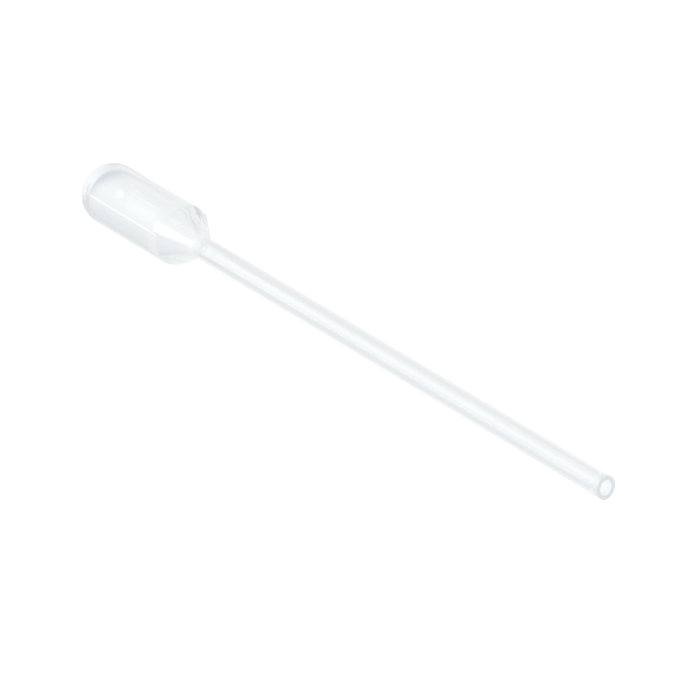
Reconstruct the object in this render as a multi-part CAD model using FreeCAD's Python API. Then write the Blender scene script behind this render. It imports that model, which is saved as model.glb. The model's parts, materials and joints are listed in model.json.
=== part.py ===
import FreeCAD, Part
import math
import os

# A plastic dropper pipette: a squeeze bulb, a sloping shoulder and a long straight stem, blown
# as one hollow piece of soft polyethylene, with a thin web of flash on each side of the shoulder,
# where the two halves of the mould met.
#
# The piece is first drawn along +X, with the dome of the bulb at x = 0 and its axis on y = z = 0.
# The webs lie in the XY plane. It is then laid down as it rests on a table: the shoulder of the
# bulb and the lower rim of the tip touch z = 0, and the origin is the bottom centre of its box.
# All sizes are in millimetres and degrees.

# Overall
overall_length = 152.0        # dome of the bulb to the middle of the tip

# Bulb
bulb_diameter = 12.0
bulb_wall = 0.85
dome_wall = 1.15              # the far end of the dome is thicker
bulb_length = 27.9            # dome to the edge where the shoulder starts

# Shoulder and stem, outside
shoulder_length = 6.5         # along the axis, edge of the bulb to the neck
shoulder_edge_radius = 2.0
neck_radius = 0.8
stem_diameter = 4.3

# Cavity: the wall grows thicker towards the neck, where the blown bulb meets the stem
stem_bore = 2.7
cavity_shoulder_setback = 2.4  # the cavity narrows this far before the outside does
cavity_shoulder_radius = 5.0
cavity_neck_setback = 0.3      # and reaches the bore this far before the outside neck
cavity_neck_radius = 3.0

# Webs of flash at the shoulder
web_thickness = 0.5
web_lead = 0.7                # how far the web runs past the edge of the bulb
web_tail = 0.3                # how far it runs past the neck
web_corner_radius = 1.2
web_root_radius = 0.6
web_edge_radius = 0.1
web_sink = 0.05               # how deep its hidden ends lie in the wall

# Tip: cut off slightly aslant
tip_cut_lean = 6.5            # between the cut's normal and the axis
tip_cut_turn = 20.0           # direction of the lean, from +Y towards +Z
tip_edge_radius = 0.08

# Derived sizes
bulb_radius = bulb_diameter / 2
stem_radius = stem_diameter / 2
bore_radius = stem_bore / 2
cavity_radius = bulb_radius - bulb_wall
neck_x = bulb_length + shoulder_length

X_AXIS = FreeCAD.Vector(1, 0, 0)
Y_AXIS = FreeCAD.Vector(0, 1, 0)
Z_AXIS = FreeCAD.Vector(0, 0, 1)
ORIGIN = FreeCAD.Vector(0, 0, 0)


def corner_arc(before, corner, after, radius):
    """The arc of this radius that touches both straight runs which meet at a corner."""
    to_before = (before - corner).normalize()
    to_after = (after - corner).normalize()
    half_angle = to_before.getAngle(to_after) / 2
    reach = radius / math.tan(half_angle)
    bisector = (to_before + to_after).normalize()
    centre = corner + bisector * (radius / math.sin(half_angle))
    start = corner + to_before * reach
    end = corner + to_after * reach
    return start, centre - bisector * radius, end


def rounded_outline(corners):
    """A closed wire in the XY plane through (x, y, radius) corners, each rounded by its radius."""
    points = [FreeCAD.Vector(x, y, 0) for x, y, radius in corners]
    edges = []
    stops = []
    for number, (x, y, radius) in enumerate(corners):
        if radius == 0:
            stops.append((points[number], points[number]))
            continue
        after = points[(number + 1) % len(points)]
        start, middle, end = corner_arc(points[number - 1], points[number], after, radius)
        edges.append(Part.Arc(start, middle, end).toShape())
        stops.append((start, end))
    for number, (start, end) in enumerate(stops):
        next_start = stops[(number + 1) % len(stops)][0]
        if end.distanceToPoint(next_start) > 1e-6:
            edges.append(Part.LineSegment(end, next_start).toShape())
    return Part.Wire(Part.__sortEdges__(edges))


def turned_solid(corners):
    """The solid that a rounded outline sweeps when it turns once about the axis."""
    return Part.Face(rounded_outline(corners)).revolve(ORIGIN, X_AXIS, 360)


def outside():
    """The outer form: a domed bulb, a sloping shoulder and a straight stem, longer than needed."""
    end = overall_length + stem_diameter
    return turned_solid([
        (0, 0, 0),
        (0, bulb_radius, bulb_radius),
        (bulb_length, bulb_radius, shoulder_edge_radius),
        (neck_x, stem_radius, neck_radius),
        (end, stem_radius, 0),
        (end, 0, 0),
    ])


def cavity():
    """The air inside: it follows the bulb one wall in, then narrows to the bore of the stem."""
    end = overall_length + 2 * stem_diameter
    return turned_solid([
        (dome_wall, 0, 0),
        (dome_wall, cavity_radius, cavity_radius),
        (bulb_length - cavity_shoulder_setback, cavity_radius, cavity_shoulder_radius),
        (neck_x - cavity_neck_setback, bore_radius, cavity_neck_radius),
        (end, bore_radius, 0),
        (end, 0, 0),
    ])


def webs():
    """Both webs as one thin plate across the axis: its middle is taken away by the cavity."""
    start = bulb_length - shoulder_edge_radius
    end = neck_x + web_tail + stem_radius
    high = bulb_radius - web_sink
    low = stem_radius - web_sink
    outline = rounded_outline([
        (start, -high, 0),
        (start, high, 0),
        (bulb_length + web_lead, high, web_corner_radius),
        (neck_x + web_tail, low, web_root_radius),
        (end, low, 0),
        (end, -low, 0),
        (neck_x + web_tail, -low, web_root_radius),
        (bulb_length + web_lead, -high, web_corner_radius),
    ])
    plate = Part.Face(outline).extrude(Z_AXIS * web_thickness)
    plate.translate(Z_AXIS * (-web_thickness / 2))
    rims = [edge for edge in plate.Edges if edge.BoundBox.ZLength < 1e-6]
    return plate.makeFillet(web_edge_radius, rims)


def beyond_tip():
    """Everything past the slanting cut at the tip, as one block."""
    size = 4 * stem_diameter
    block = Part.makeBox(size, size, size, FreeCAD.Vector(0, -size / 2, -size / 2))
    block.rotate(ORIGIN, Z_AXIS, tip_cut_lean)
    block.rotate(ORIGIN, X_AXIS, tip_cut_turn)
    block.translate(X_AXIS * overall_length)
    return block


def tip_rims(body):
    """The two edges round the end of the tip, outside and inside."""
    near_end = overall_length - stem_diameter / 2
    return [edge for edge in body.Edges if edge.Closed and edge.BoundBox.XMin > near_end]


def pipette():
    """The whole piece, still along +X."""
    body = outside().fuse(webs()).cut(cavity()).cut(beyond_tip()).removeSplitter()
    return body.makeFillet(tip_edge_radius, tip_rims(body))


def resting_angle():
    """How far the nose dips: the line under the piece touches the shoulder's edge and the tip."""
    slope = math.atan((bulb_radius - stem_radius) / shoulder_length)
    edge_centre_x = bulb_length - shoulder_edge_radius * math.tan(slope / 2)
    run = overall_length - edge_centre_x
    rise = bulb_radius - shoulder_edge_radius - stem_radius
    dip = math.asin(shoulder_edge_radius / math.hypot(run, rise)) + math.atan(rise / run)
    return math.degrees(dip)


def laid_down(body):
    """The piece turned nose down onto the table, with the origin at the bottom centre of its box."""
    body.rotate(ORIGIN, Y_AXIS, resting_angle())
    box = body.optimalBoundingBox(False)
    body.translate(FreeCAD.Vector(-box.Center.x, -box.Center.y, -box.ZMin))
    return body


os.makedirs("parts", exist_ok=True)
part = laid_down(pipette())
if part.ShapeType == "Compound":
    part = part.Solids[0]
part.exportStep("parts/pipette.step")
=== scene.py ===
import json
import math

import bpy
from mathutils import Matrix, Vector


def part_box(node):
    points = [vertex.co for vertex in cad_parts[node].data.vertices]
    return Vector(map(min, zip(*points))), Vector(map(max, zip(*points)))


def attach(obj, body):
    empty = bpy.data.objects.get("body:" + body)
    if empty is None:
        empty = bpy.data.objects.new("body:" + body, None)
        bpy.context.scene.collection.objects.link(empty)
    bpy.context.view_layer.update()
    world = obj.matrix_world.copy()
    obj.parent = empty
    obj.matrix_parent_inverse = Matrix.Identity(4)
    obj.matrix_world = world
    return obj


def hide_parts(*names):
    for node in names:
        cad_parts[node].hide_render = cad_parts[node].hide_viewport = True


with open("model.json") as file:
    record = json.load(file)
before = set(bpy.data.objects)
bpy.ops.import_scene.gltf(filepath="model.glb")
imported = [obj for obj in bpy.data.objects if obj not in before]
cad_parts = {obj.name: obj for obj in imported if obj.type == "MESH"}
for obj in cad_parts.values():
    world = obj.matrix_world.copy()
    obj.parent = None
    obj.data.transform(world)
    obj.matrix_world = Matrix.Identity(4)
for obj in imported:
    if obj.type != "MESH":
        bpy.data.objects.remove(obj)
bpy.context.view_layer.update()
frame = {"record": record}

# A plastic dropper pipette of soft clear polyethylene, lying on a white table.
# The shell is drawn straight first, with the dome of the bulb at x = 0, the axis along +X and
# the webs of flash in the XY plane. LYING then puts it where the CAD piece rests.

MM = 0.001

# Sizes that the frame gives
mounts = {mount["name"]: mount for mount in frame["record"]["mounts"]}
TIP = Vector(mounts["tip_bore"]["pos_m"])
AXIS = Vector(mounts["tip_bore"]["axis"]).normalized()
BORE_RADIUS = mounts["tip_bore"]["dims"]["r_mm"] * MM
STEM_RADIUS = mounts["stem"]["dims"]["r_mm"] * MM
LOW, HIGH = (Vector(corner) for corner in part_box("pipette"))
BULB_RADIUS = (HIGH.y - LOW.y) / 2
LENGTH = (TIP.x - LOW.x - BULB_RADIUS) / AXIS.x + BULB_RADIUS
DIP = math.atan2(-AXIS.z, AXIS.x)
LYING = Matrix.Translation(TIP) @ Matrix.Rotation(DIP, 4, "Y") @ Matrix.Translation((-LENGTH, 0, 0))

# The shell's inputs. What the frame doesn't give is written here.
SHELL = {
    "Length": LENGTH,
    "Bulb radius": BULB_RADIUS,
    "Bulb wall": 0.85 * MM,
    "Dome wall": 1.15 * MM,
    "Bulb length": 27.9 * MM,
    "Shoulder length": 6.5 * MM,
    "Shoulder rounding": 2.0 * MM,
    "Neck rounding": 0.8 * MM,
    "Stem radius": STEM_RADIUS,
    "Bore radius": BORE_RADIUS,
    "Cavity setback": 2.4 * MM,
    "Cavity rounding": 5.0 * MM,
    "Cavity neck setback": 0.3 * MM,
    "Cavity neck rounding": 3.0 * MM,
    "Rim rounding": 0.08 * MM,
    "Cut slant": math.tan(math.radians(6.5)),
    "Cut turn": math.radians(20),
    "Web thickness": 0.5 * MM,
    "Web lead": 0.7 * MM,
    "Web tail": 0.3 * MM,
    "Web sink": 0.05 * MM,
    "Web rounding": 0.2 * MM,
    "Web root": 0.15 * MM,
    "Parting line": 0.012 * MM,
    "Ring along": 29.3 * MM,
    "Ring turn": math.radians(78),
    "Ring radius": 1.7 * MM,
    "Ring height": 0.09 * MM,
    "Unevenness outside": 0.05 * MM,
    "Unevenness inside": 0.02 * MM,
    "Skin clearance": 0.015 * MM,
    "Steps around": 320,
}

# How the shell is divided and its small forms drawn. A width is where a bell is down to about a third.
OUTSIDE_CORNERS = 6           # of the section's corners, those on the outer skin
FINE_STEP = 0.12 * MM         # between rows round the shoulder, outside
INNER_STEP = 0.4 * MM         # and inside
COARSE_STEP = 3.0 * MM        # between rows elsewhere
FINE_MIDDLE = 0.6             # the middle of the fine rows, as a share of the shoulder's length
FINE_REACH = 0.8              # and how far they go each way from it
CROWDING = 0.3                # how much closer the steps round lie at the webs
WEB_START_SLOPE = 3.0         # how steeply the webs come out of the bulb's side
RING_WIDTH = 0.17 * MM
PARTING_WIDTH = 0.07 * MM
SLANT_REACH = 6.0 * MM        # the cut's slant fades out over this much of the stem
WELD = 0.0005 * MM            # points closer together than this become one
WAVES_OUTSIDE = {"scale": 90.0, "stretch": 0.2, "seed": 0.0}
WAVES_INSIDE = {"scale": 70.0, "stretch": 0.15, "seed": 0.5}
WAVES_FADE = 1.5              # the power of the piece's width by which the waves fade on thin parts

# The plastic
NECK_ALONG = LOW.x + SHELL["Bulb length"] + SHELL["Shoulder length"]
TINT = (0.922, 0.943, 0.951, 1)
CUT_TINT = (0.74, 0.79, 0.82, 1)
WHITE = (1, 1, 1, 1)
ROUGHNESS = 0.03
REFRACTION = 1.51
FROST_GRAIN = 40000.0
FROST_DEPTH = 0.02 * MM
FROST_WIDTH = 1.0 * MM
PALE_NECK_WIDTH = 1.6 * MM
STREAK_SCALE = 500.0
STREAK_STRETCH = (0.1, 1.0, 1.0)
STREAK_SHARE = 0.5

# What the clear plastic shows of the room
ROOM = (0.74, 0.78, 0.80, 1)
WINDOW = (0.48, 0.54, 0.55, 1)
WINDOW_TOWARDS = (-0.70, -0.28, 0.68)
WINDOW_SPREAD = 0.45
BACKDROP = (0.24, 0.19, 0.17, 1)
BACKDROP_TOWARDS = (-1.0, 0.1, 0.1)
BACKDROP_SPREAD = 0.75

# The table: what the eye sees of it, and what stray light meets
TABLE_HALF = 1.5
TABLE_GLOW = 0.95
TABLE_SHADOWED = (0.1, 0.1, 0.1, 1)
TABLE_PAPER = (0.8, 0.8, 0.8, 1)

# And what the clear plastic shows of it, chosen for this view: a painted pool of light along the
# piece, painted shade on both sides and further off, a band of painted shade beyond the dome and a
# spot of painted shade by the shoulder's corner. A pair is for the bulb and the stem.
PAINTED_POOL_MIDDLE = (1.0, 0.995, 0.995, 1)
STEM_BEGINS = (-50.0 * MM, -40.0 * MM)
NEAR_SIDE_PAINTED_SHADE = (0.76, 0.78, 0.80, 1)
NEAR_REACH = (14.0 * MM, 5.0 * MM)
NEAR_EDGE = (0.1, -0.9)
NEAR_LOSS_ON_STEM = 0.4
FAR_SIDE_PAINTED_SHADE = (0.925, 0.905, 0.918, 1)
FAR_REACH = (9.0 * MM, 3.5 * MM)
FAR_EDGE = (0.8, 1.8)
FAR_OFF_PAINTED_SHADE = (0.80, 0.82, 0.83, 1)
FAR_OFF = (30.0 * MM, 200.0 * MM)
# Painted shade: a band on the table beyond the dome, seen through the dome as a dark crescent
DOME_PAINTED_SHADE = (0.69, 0.72, 0.745, 1)
DOME_MIDDLE = -70.0 * MM
DOME_BAND = 18.0 * MM
DOME_BAND_WIDTH = 3.6 * MM
DOME_BAND_EDGE = (-74.0 * MM, -80.0 * MM)
DOME_BAND_ACROSS = 5.0 * MM
DOME_BAND_SPREAD = 12.0 * MM
# Painted shade: a soft spot on the table by the shoulder's corner
CORNER_PAINTED_SHADE = (0.62, 0.66, 0.69, 1)
CORNER_MIDDLE = Vector((-52, 15, 0)) * MM
CORNER_WIDTH = 5.0 * MM

# The lamps don't light what has turned in the wall more often than this, which would be speckled
LAMP_REACH = 7.5

# The view: the point looked at, how far off the eye is, how far round from +X and how high it
# stands, and how far its picture is rolled
VIEW_AIM = Vector((2.49, -1.15, 1.06)) * MM
VIEW_AWAY = 1079.4 * MM
VIEW_ROUND = math.radians(-17.92)
VIEW_HIGH = math.radians(39.48)
VIEW_ROLL = math.radians(-33.04)
LENS_LENGTH = 310.7
LENS_SENSOR = 36
LENS_REACH = (0.1, 20)

WALL_BOUNCES = 1024           # fewer leave black bits in the webs and the cut end
ROOM_BOUNCES = 64


class Tree:
    """A node tree written as short calls, where a socket and a plain value are given alike."""

    def __init__(self, tree):
        self.tree = tree

    def node(self, kind, inputs=None, **settings):
        made = self.tree.nodes.new(kind)
        for name, value in settings.items():
            setattr(made, name, value)
        for key, value in (inputs or {}).items():
            self.plug(made.inputs[key], value)
        return made

    def plug(self, socket, value):
        if isinstance(value, bpy.types.NodeSocket):
            self.tree.links.new(value, socket)
        else:
            socket.default_value = value

    def math(self, operation, *values):
        made = self.node("ShaderNodeMath", operation=operation)
        for socket, value in zip(made.inputs, values):
            self.plug(socket, value)
        return made.outputs[0]

    def vector_math(self, operation, *values, output=0):
        made = self.node("ShaderNodeVectorMath", operation=operation)
        for socket, value in zip(made.inputs, values):
            self.plug(socket, value)
        return made.outputs[output]

    def vector(self, x, y, z):
        return self.node("ShaderNodeCombineXYZ", {0: x, 1: y, 2: z}).outputs[0]

    def sum(self, first, *rest):
        for value in rest:
            first = self.math("ADD", first, value)
        return first

    def less(self, a, b):
        return self.math("SUBTRACT", a, b)

    def times(self, first, *rest):
        for value in rest:
            first = self.math("MULTIPLY", first, value)
        return first

    def over(self, a, b):
        return self.math("DIVIDE", a, b)

    def bell(self, distance, width):
        """1 where the distance is 0, falling to 0 a few widths away."""
        share = self.over(distance, width)
        return self.math("EXPONENT", self.times(share, share, -1.0))


def ramp(tree, value, start, end):
    """0 at the start, rising smoothly to 1 at the end."""
    made = tree.node("ShaderNodeMapRange", {"Value": value, "From Min": start, "From Max": end},
                     interpolation_type="SMOOTHSTEP")
    return made.outputs[0]


def by_index(tree, kind, values):
    """A field that gives each of a few points a value of its own."""
    switch = tree.node("GeometryNodeIndexSwitch", data_type=kind)
    while len(switch.index_switch_items) < len(values):
        switch.index_switch_items.new()
    tree.plug(switch.inputs["Index"], tree.node("GeometryNodeInputIndex").outputs[0])
    for number, value in enumerate(values):
        tree.plug(switch.inputs[str(number)], value)
    return switch.outputs[0]


def section_corners(tree, size):
    """The corners of the wall's section as (along, out, rounding, arc steps): from the dome to
    the tip outside, which is the first OUTSIDE_CORNERS, and back to the dome inside."""
    wall = size["Bulb wall"]
    neck = tree.sum(size["Bulb length"], size["Shoulder length"])
    cavity = tree.less(size["Bulb radius"], wall)
    cavity_end = tree.less(size["Bulb length"], size["Cavity setback"])
    cavity_neck = tree.less(neck, size["Cavity neck setback"])
    after_webs = tree.sum(neck, size["Stem radius"])
    rim = size["Rim rounding"]
    return [
        (0.0, 0.0, 0.0, 1),
        (0.0, size["Bulb radius"], size["Bulb radius"], 20),
        (size["Bulb length"], size["Bulb radius"], size["Shoulder rounding"], 10),
        (neck, size["Stem radius"], size["Neck rounding"], 8),
        (after_webs, size["Stem radius"], 0.0, 1),
        (size["Length"], size["Stem radius"], rim, 3),
        (size["Length"], size["Bore radius"], rim, 3),
        (cavity_neck, size["Bore radius"], size["Cavity neck rounding"], 8),
        (cavity_end, cavity, size["Cavity rounding"], 10),
        (size["Dome wall"], cavity, cavity, 16),
        (size["Dome wall"], 0.0, 0.0, 1),
    ]


def marked_outside(tree):
    """1 on the outer skin, and 0 on the inner."""
    return tree.node("GeometryNodeInputNamedAttribute", {"Name": "outside"}, data_type="FLOAT").outputs[0]


def divided(tree, curve, size):
    """The curve with rows close together round the shoulder, and further apart elsewhere."""
    here = tree.node("GeometryNodeInputPosition").outputs[0]
    next_index = tree.sum(tree.node("GeometryNodeInputIndex").outputs[0], 1)
    following = tree.node("GeometryNodeFieldAtIndex", {"Value": here, "Index": next_index},
                          data_type="FLOAT_VECTOR").outputs[0]
    run = tree.vector_math("DISTANCE", here, following, output="Value")
    middle = tree.vector_math("MULTIPLY", tree.vector_math("ADD", here, following), (0.5, 0.5, 0.5))
    along = tree.node("ShaderNodeSeparateXYZ", {0: middle}).outputs[0]
    shoulder = tree.sum(size["Bulb length"], tree.times(size["Shoulder length"], FINE_MIDDLE))
    near = tree.math("COMPARE", along, shoulder, tree.times(size["Shoulder length"], FINE_REACH))
    fine = tree.sum(INNER_STEP, tree.times(marked_outside(tree), FINE_STEP - INNER_STEP))
    step = tree.sum(COARSE_STEP, tree.times(near, tree.less(fine, COARSE_STEP)))
    cuts = tree.math("FLOOR", tree.over(run, step))
    return tree.node("GeometryNodeSubdivideCurve", {"Curve": curve, "Cuts": cuts}).outputs[0]


def section_curve(tree, size):
    """The wall's section as one curve, rounded at its corners. It is marked 1 outside, 0 inside."""
    corners = section_corners(tree, size)
    points = tree.node("GeometryNodePoints", {"Count": len(corners)}).outputs[0]
    places = by_index(tree, "VECTOR", [tree.vector(x, y, 0.0) for x, y, _, _ in corners])
    placed = tree.node("GeometryNodeSetPosition", {"Geometry": points, "Position": places}).outputs[0]
    index = tree.node("GeometryNodeInputIndex").outputs[0]
    outside = tree.math("LESS_THAN", index, OUTSIDE_CORNERS - 0.5)
    marked = tree.node("GeometryNodeStoreNamedAttribute", data_type="FLOAT", domain="POINT",
                       inputs={"Geometry": placed, "Name": "outside", "Value": outside}).outputs[0]
    curve = tree.node("GeometryNodePointsToCurves", {0: marked}).outputs[0]
    rounded = tree.node("GeometryNodeFilletCurve", mode="POLY", inputs={
        "Curve": curve,
        "Count": by_index(tree, "INT", [steps for _, _, _, steps in corners]),
        "Radius": by_index(tree, "FLOAT", [rounding for _, _, rounding, _ in corners]),
    }).outputs[0]
    return divided(tree, rounded, size)


def captured(tree, geometry, value):
    """The geometry, and a value that each of its points keeps when it becomes part of a mesh."""
    capture = tree.node("GeometryNodeCaptureAttribute", domain="POINT")
    capture.capture_items.new("FLOAT", "Value")
    tree.plug(capture.inputs["Geometry"], geometry)
    tree.plug(capture.inputs[1], value)
    return capture.outputs["Geometry"], capture.outputs[1]


def turned(tree, section, size):
    """The section swept once round: the bare mesh, with each point's along, out and turn."""
    place = tree.node("ShaderNodeSeparateXYZ", {0: tree.node("GeometryNodeInputPosition").outputs[0]})
    section, along = captured(tree, section, place.outputs[0])
    section, out = captured(tree, section, place.outputs[1])
    circle = tree.node("GeometryNodeCurvePrimitiveCircle", {"Resolution": size["Steps around"]},
                       mode="RADIUS").outputs[0]
    step_turn = tree.over(2 * math.pi, size["Steps around"])
    even_turn = tree.times(tree.node("GeometryNodeInputIndex").outputs[0], step_turn)
    crowding = tree.times(tree.math("SINE", tree.times(even_turn, 2.0)), CROWDING)
    circle, turn = captured(tree, circle, tree.less(even_turn, crowding))
    mesh = tree.node("GeometryNodeCurveToMesh", {"Curve": circle, "Profile Curve": section}).outputs[0]
    return mesh, along, out, turn


def not_nought(tree, value):
    """The value without its sign, kept large enough to divide by."""
    return tree.math("MAXIMUM", tree.math("ABSOLUTE", value), 0.001)


def web_reach(tree, size, along, cosine, sine):
    """How far out the two thin webs of flash reach in each direction, from the axis."""
    high = tree.less(size["Bulb radius"], size["Web sink"])
    low = tree.less(size["Stem radius"], size["Web sink"])
    start = tree.sum(size["Bulb length"], size["Web lead"])
    end = tree.sum(size["Bulb length"], size["Shoulder length"], size["Web tail"])
    slope = tree.over(tree.less(high, low), tree.less(end, start))
    falling = tree.less(high, tree.times(tree.less(along, start), slope))
    from_start = tree.less(along, tree.less(start, size["Shoulder rounding"]))
    rising = tree.sum(high, tree.times(from_start, WEB_START_SLOPE))
    edge = tree.math("SMOOTH_MIN", high, falling, size["Web rounding"])
    edge = tree.math("SMOOTH_MIN", edge, rising, size["Web rounding"])
    sideways = tree.over(edge, not_nought(tree, cosine))
    half = tree.times(size["Web thickness"], 0.5)
    upwards = tree.over(half, not_nought(tree, sine))
    return tree.math("SMOOTH_MIN", sideways, upwards, tree.times(size["Web root"], 0.5))


def ring_share(tree, size, along, out, cosine, sine):
    """1 along a small circle on the sloping shoulder, and 0 away from it."""
    neck = tree.sum(size["Bulb length"], size["Shoulder length"])
    fall = tree.over(tree.less(size["Bulb radius"], size["Stem radius"]), size["Shoulder length"])
    ring_out = tree.sum(size["Stem radius"], tree.times(tree.less(neck, size["Ring along"]), fall))
    centre = tree.vector(size["Ring along"],
                         tree.times(ring_out, tree.math("COSINE", size["Ring turn"])),
                         tree.times(ring_out, tree.math("SINE", size["Ring turn"])))
    here = tree.vector(along, tree.times(out, cosine), tree.times(out, sine))
    distance = tree.vector_math("DISTANCE", here, centre, output="Value")
    return tree.bell(tree.less(distance, size["Ring radius"]), RING_WIDTH)


def unevenness(tree, along, out, cosine, sine, scale, stretch, seed):
    """Soft waves drawn out along the piece, between -1 and 1."""
    place = tree.vector(tree.sum(tree.times(along, stretch), seed), tree.times(out, cosine),
                        tree.times(out, sine))
    noise = tree.node("ShaderNodeTexNoise", {"Vector": place, "Scale": scale, "Detail": 1.0,
                                             "Roughness": 0.5}).outputs[0]
    return tree.less(tree.times(noise, 2.0), 1.0)


def shell_tree():
    """The geometry nodes that turn a section into the whole hollow piece."""
    group = bpy.data.node_groups.new("blown_shell", "GeometryNodeTree")
    group.interface.new_socket("Geometry", in_out="INPUT", socket_type="NodeSocketGeometry")
    group.interface.new_socket("Geometry", in_out="OUTPUT", socket_type="NodeSocketGeometry")
    for name, value in SHELL.items():
        kind = "NodeSocketInt" if isinstance(value, int) else "NodeSocketFloat"
        group.interface.new_socket(name, in_out="INPUT", socket_type=kind)
    group.interface.new_socket("Plastic", in_out="INPUT", socket_type="NodeSocketMaterial")
    tree = Tree(group)
    size = tree.node("NodeGroupInput").outputs
    mesh, along, out, turn = turned(tree, section_curve(tree, size), size)
    cosine = tree.math("COSINE", turn)
    sine = tree.math("SINE", turn)
    outside = marked_outside(tree)
    inside = tree.less(1.0, outside)

    webbed = tree.math("SMOOTH_MAX", out, web_reach(tree, size, along, cosine, sine), size["Web root"])
    skin = tree.sum(tree.times(webbed, outside), tree.times(out, inside))
    seam = tree.times(tree.bell(tree.times(skin, sine), PARTING_WIDTH), size["Parting line"])
    ring = ring_share(tree, size, along, out, cosine, sine)
    waves_out = unevenness(tree, along, out, cosine, sine, **WAVES_OUTSIDE)
    waves_in = unevenness(tree, along, out, cosine, sine, **WAVES_INSIDE)
    swell = tree.math("POWER", tree.over(out, size["Bulb radius"]), WAVES_FADE)
    # The outer waves only go inwards
    dents = tree.times(tree.less(waves_out, 1.0), size["Unevenness outside"], swell, 0.5)
    raised = tree.sum(seam, tree.times(ring, size["Ring height"]), dents)
    outer_extra = tree.less(raised, size["Skin clearance"])
    inner_extra = tree.times(waves_in, size["Unevenness inside"], swell)
    extra = tree.sum(tree.times(outer_extra, outside), tree.times(inner_extra, inside))
    off_axis = tree.math("MINIMUM", tree.over(out, size["Stem radius"]), 1.0)
    reach = tree.sum(skin, tree.times(extra, off_axis))
    y = tree.times(reach, cosine)
    z = tree.times(reach, sine)
    lean = tree.sum(tree.times(y, tree.math("COSINE", size["Cut turn"])),
                    tree.times(z, tree.math("SINE", size["Cut turn"])))
    to_tip = tree.over(tree.less(along, tree.less(size["Length"], SLANT_REACH)), SLANT_REACH)
    slant = tree.times(tree.math("MAXIMUM", to_tip, 0.0), size["Cut slant"], lean)
    mesh, kept_ring = captured(tree, mesh, ring)
    cut = ramp(tree, along, tree.less(size["Length"], size["Rim rounding"]), size["Length"])
    mesh, kept_cut = captured(tree, mesh, cut)
    formed = tree.node("GeometryNodeSetPosition", {
        "Geometry": mesh, "Position": tree.vector(tree.less(along, slant), y, z)}).outputs[0]
    closed = tree.node("GeometryNodeMergeByDistance", {"Geometry": formed, "Distance": WELD}).outputs[0]
    outwards = tree.node("GeometryNodeFlipFaces", {"Mesh": closed}).outputs[0]
    smooth = tree.node("GeometryNodeSetShadeSmooth", {"Geometry": outwards, "Shade Smooth": True}).outputs[0]
    for name, value in (("ring", kept_ring), ("cut", kept_cut)):
        smooth = tree.node("GeometryNodeStoreNamedAttribute", data_type="FLOAT", domain="POINT",
                           inputs={"Geometry": smooth, "Name": name, "Value": value}).outputs[0]
    real = tree.node("GeometryNodeRealizeInstances", {"Geometry": smooth}).outputs[0]
    painted = tree.node("GeometryNodeSetMaterial", {"Geometry": real, "Material": size["Plastic"]}).outputs[0]
    tree.node("NodeGroupOutput", {"Geometry": painted})
    return group


def made_by(tree_group, values, name):
    """The plain mesh object that a node tree gives for these inputs."""
    maker = bpy.data.objects.new("maker", bpy.data.meshes.new("maker"))
    bpy.context.collection.objects.link(maker)
    modifier = maker.modifiers.new("maker", "NODES")
    modifier.node_group = tree_group
    for item in tree_group.interface.items_tree:
        if item.in_out == "INPUT" and item.name in values:
            modifier[item.identifier] = values[item.name]
    ready = maker.evaluated_get(bpy.context.evaluated_depsgraph_get())
    mesh = bpy.data.meshes.new_from_object(ready)
    mesh.name = name
    bpy.data.objects.remove(maker)
    made = bpy.data.objects.new(name, mesh)
    bpy.context.collection.objects.link(made)
    return made


def polyethylene():
    """Thin natural polyethylene: clear and glossy with a faint cool tint, paler streaks along it,
    fine frosting at the neck and a deeper tint on the cut end. A painted highlight makes the ring
    mark on the shoulder paler."""
    material = bpy.data.materials.new("clear_polyethylene")
    material.use_nodes = True
    tree = Tree(material.node_tree)
    shader = material.node_tree.nodes["Principled BSDF"]
    shader.inputs["Roughness"].default_value = ROUGHNESS
    shader.inputs["IOR"].default_value = REFRACTION
    shader.inputs["Transmission Weight"].default_value = 1.0
    place = tree.node("ShaderNodeTexCoord").outputs["Object"]
    along = tree.node("ShaderNodeSeparateXYZ", {0: place}).outputs[0]
    from_neck = tree.less(along, NECK_ALONG)
    grain = tree.node("ShaderNodeTexNoise", {"Vector": place, "Scale": FROST_GRAIN, "Detail": 1.0}).outputs[0]
    bump = tree.node("ShaderNodeBump", {
        "Strength": tree.bell(from_neck, FROST_WIDTH), "Distance": FROST_DEPTH, "Height": grain})
    tree.plug(shader.inputs["Normal"], bump.outputs[0])
    ring = tree.node("ShaderNodeAttribute", attribute_name="ring").outputs["Fac"]
    drawn_out = tree.vector_math("MULTIPLY", place, STREAK_STRETCH)
    streaks = tree.node("ShaderNodeTexNoise", {
        "Vector": drawn_out, "Scale": STREAK_SCALE, "Detail": 2.0}).outputs[0]
    # Paler along the ring mark, which is a painted highlight, at the frosted neck, and in streaks along the
    # piece
    pale = tree.math("MAXIMUM", ring, tree.bell(from_neck, PALE_NECK_WIDTH))
    pale = tree.math("MAXIMUM", pale, tree.times(streaks, STREAK_SHARE))
    cut = tree.node("ShaderNodeAttribute", attribute_name="cut").outputs["Fac"]
    tone = mixed(tree, pale, TINT, WHITE)
    tree.plug(shader.inputs["Base Color"], mixed(tree, cut, tone, CUT_TINT))
    return material


def mixed(tree, share, one, other):
    """A colour between two."""
    return tree.node("ShaderNodeMix", data_type="RGBA", inputs={0: share, 6: one, 7: other}).outputs[2]


def seen_directly(tree):
    """1 for what the eye sees, straight or through and off a clear wall, and 0 for stray light."""
    path = tree.node("ShaderNodeLightPath").outputs
    eye = tree.math("MAXIMUM", path["Is Camera Ray"], path["Is Glossy Ray"])
    return tree.math("MAXIMUM", eye, path["Is Transmission Ray"])


def between(tree, share, one, other):
    """A number between two: the first at 0 and the other at 1."""
    return tree.less(one, tree.times(share, one - other))


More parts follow.
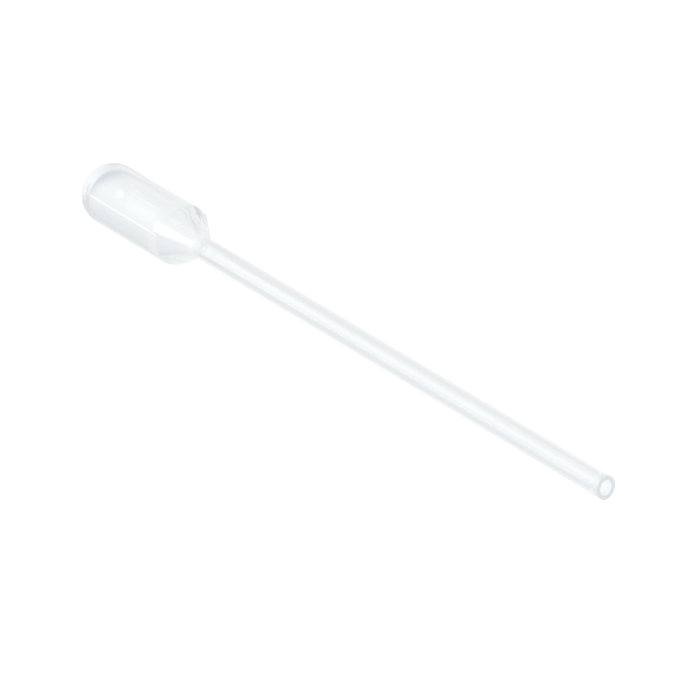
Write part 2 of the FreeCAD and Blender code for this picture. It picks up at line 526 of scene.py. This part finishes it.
def table_seen_through(tree):
    """The table as the clear plastic shows it, with light and shade painted on: a painted pool of light
    along the piece, painted shade on both sides and further off, a band of painted shade beyond the
    dome and a spot of painted shade by the shoulder's corner."""
    place = tree.node("ShaderNodeSeparateXYZ", {0: tree.node("ShaderNodeTexCoord").outputs["Object"]})
    along = place.outputs[0]
    across = place.outputs[1]
    stem = ramp(tree, along, *STEM_BEGINS)

    # Painted shade on the near side and on the far side of the piece, and painted shade further off
    near_painted_shade = ramp(tree, tree.over(across, between(tree, stem, *NEAR_REACH)), *NEAR_EDGE)
    near_painted_shade = tree.times(near_painted_shade, between(tree, stem, 1.0, 1.0 - NEAR_LOSS_ON_STEM))
    far_painted_shade = ramp(tree, tree.over(across, between(tree, stem, *FAR_REACH)), *FAR_EDGE)
    far = ramp(tree, tree.math("ABSOLUTE", across), *FAR_OFF)
    tone = mixed(tree, near_painted_shade, PAINTED_POOL_MIDDLE, NEAR_SIDE_PAINTED_SHADE)
    tone = mixed(tree, far_painted_shade, tone, FAR_SIDE_PAINTED_SHADE)
    tone = mixed(tree, far, tone, FAR_OFF_PAINTED_SHADE)

    # A band of painted shade on the table beyond the dome
    to_dome = tree.vector(tree.less(along, DOME_MIDDLE), across, 0.0)
    from_dome = tree.vector_math("LENGTH", to_dome, output="Value")
    band = tree.bell(tree.less(from_dome, DOME_BAND), DOME_BAND_WIDTH)
    beyond = ramp(tree, along, *DOME_BAND_EDGE)
    facing = tree.times(beyond, tree.bell(tree.less(across, DOME_BAND_ACROSS), DOME_BAND_SPREAD))
    tone = mixed(tree, tree.times(band, facing), tone, DOME_PAINTED_SHADE)

    # A spot of painted shade on the table by the shoulder's corner
    flat = tree.vector(along, across, 0.0)
    from_corner = tree.vector_math("DISTANCE", flat, tuple(CORNER_MIDDLE), output="Value")
    return mixed(tree, tree.bell(from_corner, CORNER_WIDTH), tone, CORNER_PAINTED_SHADE)


def table():
    """A white table top. The eye sees it glow so that the shadow on it stays faint, the clear
    plastic shows it with a painted pool of light and painted shade, and stray light meets plain paper."""
    half = TABLE_HALF
    corners = [(-half, -half, 0), (half, -half, 0), (half, half, 0), (-half, half, 0)]
    mesh = bpy.data.meshes.new("table")
    mesh.from_pydata(corners, [], [(0, 1, 2, 3)])
    top = bpy.data.objects.new("table", mesh)
    bpy.context.collection.objects.link(top)
    material = bpy.data.materials.new("table_white")
    material.use_nodes = True
    tree = Tree(material.node_tree)
    material.node_tree.nodes.clear()
    paper = tree.node("ShaderNodeBsdfDiffuse", {"Color": TABLE_PAPER}).outputs[0]
    shadowed = tree.node("ShaderNodeBsdfDiffuse", {"Color": TABLE_SHADOWED}).outputs[0]
    glow = tree.node("ShaderNodeEmission", {"Color": WHITE, "Strength": TABLE_GLOW}).outputs[0]
    seen = tree.node("ShaderNodeAddShader", {0: shadowed, 1: glow}).outputs[0]
    through = tree.node("ShaderNodeEmission", {"Color": table_seen_through(tree), "Strength": 1.0}).outputs[0]
    both = tree.node("ShaderNodeMixShader", {0: seen_directly(tree), 1: paper, 2: through}).outputs[0]
    path = tree.node("ShaderNodeLightPath").outputs
    both = tree.node("ShaderNodeMixShader", {0: path["Is Camera Ray"], 1: both, 2: seen}).outputs[0]
    tree.node("ShaderNodeOutputMaterial", {"Surface": both})
    mesh.materials.append(material)


def glow_from(tree, towards, spread, colour):
    """A soft glow in the world around one direction."""
    here = tree.node("ShaderNodeTexCoord").outputs["Generated"]
    off = tree.vector_math("DISTANCE", here, tuple(Vector(towards).normalized()), output="Value")
    return tree.node("ShaderNodeBackground", {"Color": colour, "Strength": tree.bell(off, spread)}).outputs[0]


def studio():
    """A dim room with a soft window and a faint warm glow behind the dome, but white where the
    camera looks past the table."""
    world = bpy.data.worlds.new("studio")
    bpy.context.scene.world = world
    world.use_nodes = True
    tree = Tree(world.node_tree)
    world.node_tree.nodes.clear()
    room = tree.node("ShaderNodeBackground", {"Color": ROOM, "Strength": 1.0}).outputs[0]
    window = glow_from(tree, WINDOW_TOWARDS, WINDOW_SPREAD, WINDOW)
    room = tree.node("ShaderNodeAddShader", {0: room, 1: window}).outputs[0]
    backdrop = glow_from(tree, BACKDROP_TOWARDS, BACKDROP_SPREAD, BACKDROP)
    room = tree.node("ShaderNodeAddShader", {0: room, 1: backdrop}).outputs[0]
    white = tree.node("ShaderNodeBackground", {"Color": WHITE, "Strength": 1.0}).outputs[0]
    path = tree.node("ShaderNodeLightPath").outputs
    both = tree.node("ShaderNodeMixShader", {0: path["Is Camera Ray"], 1: room, 2: white}).outputs[0]
    tree.node("ShaderNodeOutputWorld", {"Surface": both})


def lamp(name, towards, away, size, watts, shape="RECTANGLE", long_side=(0, 0, 1)):
    """A soft white lamp that far away from the middle of the piece, facing it."""
    light = bpy.data.lights.new(name, "AREA")
    light.shape = shape
    light.size = size[0]
    light.size_y = size[1]
    light.energy = watts
    light.use_nodes = True
    tree = Tree(light.node_tree)
    depth = tree.node("ShaderNodeLightPath").outputs["Ray Depth"]
    tree.plug(light.node_tree.nodes["Emission"].inputs["Strength"], tree.math("LESS_THAN", depth, LAMP_REACH))
    made = bpy.data.objects.new(name, light)
    bpy.context.collection.objects.link(made)
    back = Vector(towards).normalized()
    side = Vector(long_side).cross(back).normalized()
    turn = Matrix((side, back.cross(side), back)).transposed().to_4x4()
    made.matrix_world = Matrix.Translation(back * away) @ turn


def camera():
    """The view: from the tip's side, looking down, with the piece aslant across the frame."""
    lens = bpy.data.cameras.new("camera")
    lens.sensor_width = LENS_SENSOR
    lens.lens = LENS_LENGTH
    lens.clip_start, lens.clip_end = LENS_REACH
    eye = bpy.data.objects.new("camera", lens)
    bpy.context.collection.objects.link(eye)
    round_it = Matrix.Rotation(VIEW_ROUND + math.pi / 2, 4, "Z")
    down_at_it = Matrix.Rotation(math.pi / 2 - VIEW_HIGH, 4, "X")
    rolled = Matrix.Rotation(VIEW_ROLL, 4, "Z")
    back = Matrix.Translation((0, 0, VIEW_AWAY))
    eye.matrix_world = Matrix.Translation(VIEW_AIM) @ round_it @ down_at_it @ rolled @ back
    bpy.context.scene.camera = eye


def render_settings():
    """Enough bounces for light to find its way through the clear wall."""
    scene = bpy.context.scene
    scene.view_settings.view_transform = "Standard"
    scene.cycles.blur_glossy = 0.0
    scene.cycles.min_light_bounces = WALL_BOUNCES
    scene.cycles.max_bounces = WALL_BOUNCES
    scene.cycles.glossy_bounces = WALL_BOUNCES
    scene.cycles.transmission_bounces = WALL_BOUNCES
    scene.cycles.diffuse_bounces = ROOM_BOUNCES


plastic = polyethylene()
shell = made_by(shell_tree(), {**SHELL, "Plastic": plastic}, "pipette_shell")
shell.data.transform(LYING)
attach(shell, "root")
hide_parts("pipette")
table()
studio()
lamp("key", towards=(0.322, -0.587, 0.742), away=0.8, size=(0.56, 0.56), watts=2.3, shape="ELLIPSE")
lamp("strip", towards=(-0.705, -0.644, 0.296), away=0.9, size=(0.035, 0.7), watts=0.16, long_side=(1, 0, 0))
camera()
render_settings()
